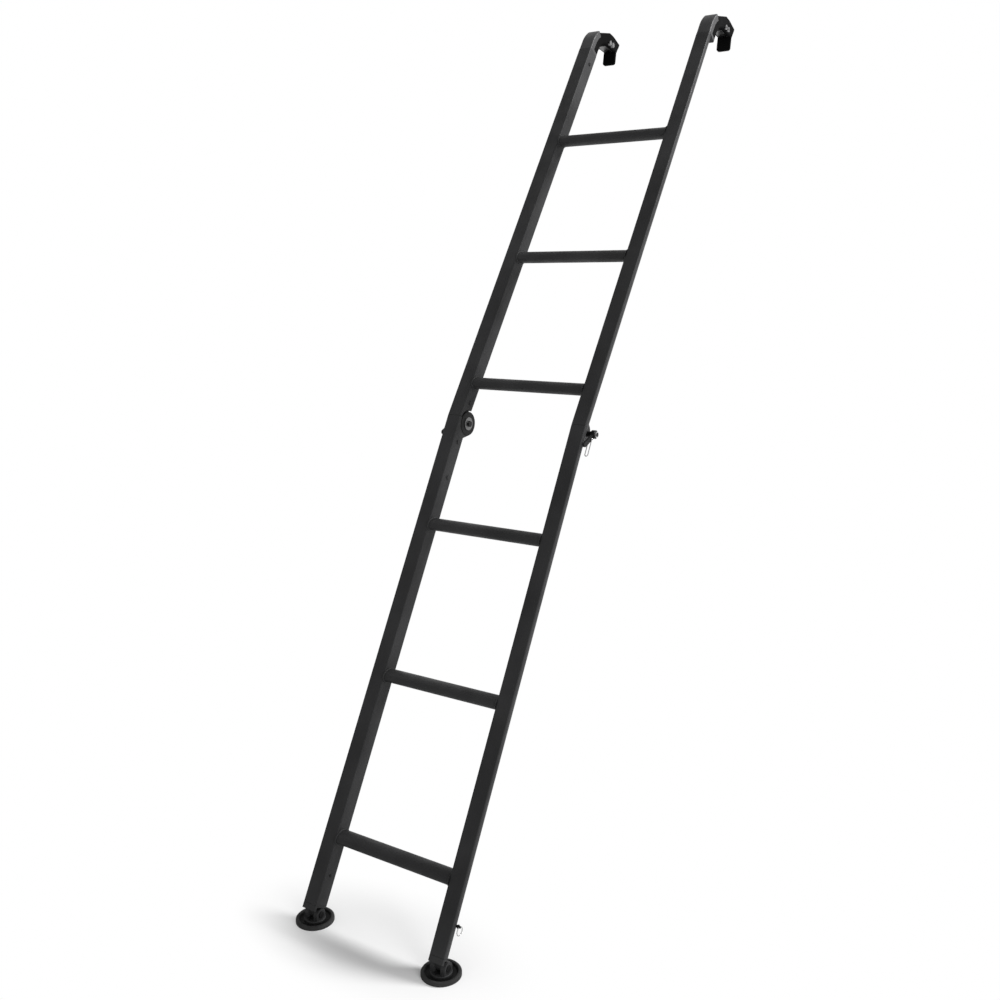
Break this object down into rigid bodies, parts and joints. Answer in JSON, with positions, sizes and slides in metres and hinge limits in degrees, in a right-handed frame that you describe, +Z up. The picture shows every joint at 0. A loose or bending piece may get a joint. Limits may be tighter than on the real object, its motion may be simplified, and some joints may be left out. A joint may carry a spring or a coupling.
{
  "type": "folding roof rack ladder",
  "caption": "Slim folding ladder that leans on a vehicle, with oval rungs, padded roof rail hooks, a clamped middle hinge, sliding legs and tilting foot pads.",
  "frame": {"origin": "on the ground, midway between the two foot pads, under the foot pivots", "axes": "+X along the rungs to the right stile, +Y towards the vehicle, +Z up"},
  "size_m": [0.349, 1.1334, 1.684],
  "materials": {
    "crook_coat": "smooth dark grey coat on cast aluminium",
    "dark_coat": "satin dark grey coat on aluminium",
    "plain_aluminium": "anodised",
    "black_steel": "satin black paint",
    "bright_steel": "zinc plated",
    "grey_steel": "dull zinc",
    "bright_ring": "bright wire",
    "rubber": "moulded black rubber",
    "pad_rubber": "moulded dark grey rubber"
  },
  "bodies": {
    "upper_half": {"hook_bolts": "grey_steel", "hook_boot_left": "rubber", "hook_boot_right": "rubber", "hook_crook_left": "crook_coat", "hook_crook_right": "crook_coat", "hook_nuts": "grey_steel", "hook_strip_left": "grey_steel", "hook_strip_right": "grey_steel", "spigot_screws": "black_steel", "upper_hinge_block_left": "dark_coat", "upper_hinge_block_right": "dark_coat", "upper_rivets": "dark_coat", "upper_rung_1": "dark_coat", "upper_rung_2": "dark_coat", "upper_rung_3": "dark_coat", "upper_stile_left": "dark_coat", "upper_stile_right": "dark_coat"},
    "lower_half": {"hinge_cover_left": "black_steel", "hinge_cover_right": "black_steel", "hinge_nuts": "bright_steel", "hinge_pivot_left": "black_steel", "hinge_pivot_right": "black_steel", "hinge_spacer_left": "black_steel", "hinge_spacer_right": "black_steel", "hinge_washer_left": "grey_steel", "hinge_washer_right": "grey_steel", "lower_hinge_block_left": "dark_coat", "lower_hinge_block_right": "dark_coat", "lower_rivets": "dark_coat", "lower_rung_1": "dark_coat", "lower_rung_2": "dark_coat", "lower_rung_3": "dark_coat", "lower_stile_left": "dark_coat", "lower_stile_right": "dark_coat"},
    "clamp_lever_right": {"clamp_lever_right": "black_steel"},
    "pull_link_right": {"pull_link_right": "bright_ring"},
    "leg_right": {"leg_fork_right": "dark_coat", "leg_tube_right": "plain_aluminium"},
    "leg_pin_right": {"leg_pin_right": "black_steel"},
    "leg_pin_ring_right": {"leg_pin_ring_right": "bright_ring"},
    "foot_right": {"foot_bracket_right": "dark_coat", "foot_pad_right": "pad_rubber", "foot_pin_right": "black_steel", "foot_screws_right": "black_steel"},
    "clamp_lever_left": {"clamp_lever_left": "black_steel"},
    "pull_link_left": {"pull_link_left": "bright_ring"},
    "leg_left": {"leg_fork_left": "dark_coat", "leg_tube_left": "plain_aluminium"},
    "leg_pin_left": {"leg_pin_left": "black_steel"},
    "leg_pin_ring_left": {"leg_pin_ring_left": "bright_ring"},
    "foot_left": {"foot_bracket_left": "dark_coat", "foot_pad_left": "pad_rubber", "foot_pin_left": "black_steel", "foot_screws_left": "black_steel"}
  },
  "joints": [
    {"name": "fold", "type": "hinge", "parent": "upper_half", "child": "lower_half", "pos_m": [0, 0.46945, 0.84716], "axis": [1, 0, 0], "range_deg": [0, 165]},
    {"name": "clamp_lever_right_turn", "type": "hinge", "parent": "lower_half", "child": "clamp_lever_right", "pos_m": [0.1555, 0.46945, 0.84716], "axis": [1, 0, 0], "range_deg": [0, 150]},
    {"name": "pull_link_right_swing", "type": "hinge", "parent": "clamp_lever_right", "child": "pull_link_right", "pos_m": [0.15925, 0.45649, 0.84187], "axis": [1, 0, 0], "range_deg": [-8, 60]},
    {"name": "leg_right_slide", "type": "slide", "parent": "lower_half", "child": "leg_right", "axis": [0, -0.4818, -0.8763], "range_m": [0, 0.15]},
    {"name": "foot_right_tilt", "type": "hinge", "parent": "leg_right", "child": "foot_right", "pos_m": [0.14, 0, 0.015], "axis": [-1, 0, 0], "range_deg": [-26, 55]},
    {"name": "leg_pin_right_pull", "type": "slide", "parent": "lower_half", "child": "leg_pin_right", "axis": [1, 0, 0], "range_m": [0, 0.029]},
    {"name": "leg_pin_ring_right_swing", "type": "hinge", "parent": "leg_pin_right", "child": "leg_pin_ring_right", "pos_m": [0.1587, 0.02722, 0.07751], "axis": [0, -1, 0], "range_deg": [0, 80]},
    {"name": "clamp_lever_left_turn", "type": "hinge", "parent": "lower_half", "child": "clamp_lever_left", "pos_m": [-0.1555, 0.46945, 0.84716], "axis": [1, 0, 0], "range_deg": [0, 150]},
    {"name": "pull_link_left_swing", "type": "hinge", "parent": "clamp_lever_left", "child": "pull_link_left", "pos_m": [-0.15925, 0.45649, 0.84187], "axis": [1, 0, 0], "range_deg": [-8, 60]},
    {"name": "leg_left_slide", "type": "slide", "parent": "lower_half", "child": "leg_left", "axis": [0, -0.4818, -0.8763], "range_m": [0, 0.15]},
    {"name": "foot_left_tilt", "type": "hinge", "parent": "leg_left", "child": "foot_left", "pos_m": [-0.14, 0, 0.015], "axis": [-1, 0, 0], "range_deg": [-26, 55]},
    {"name": "leg_pin_left_pull", "type": "slide", "parent": "lower_half", "child": "leg_pin_left", "axis": [-1, 0, 0], "range_m": [0, 0.029]},
    {"name": "leg_pin_ring_left_swing", "type": "hinge", "parent": "leg_pin_left", "child": "leg_pin_ring_left", "pos_m": [-0.1587, 0.02722, 0.07751], "axis": [0, 1, 0], "range_deg": [0, 80]}
  ]
}
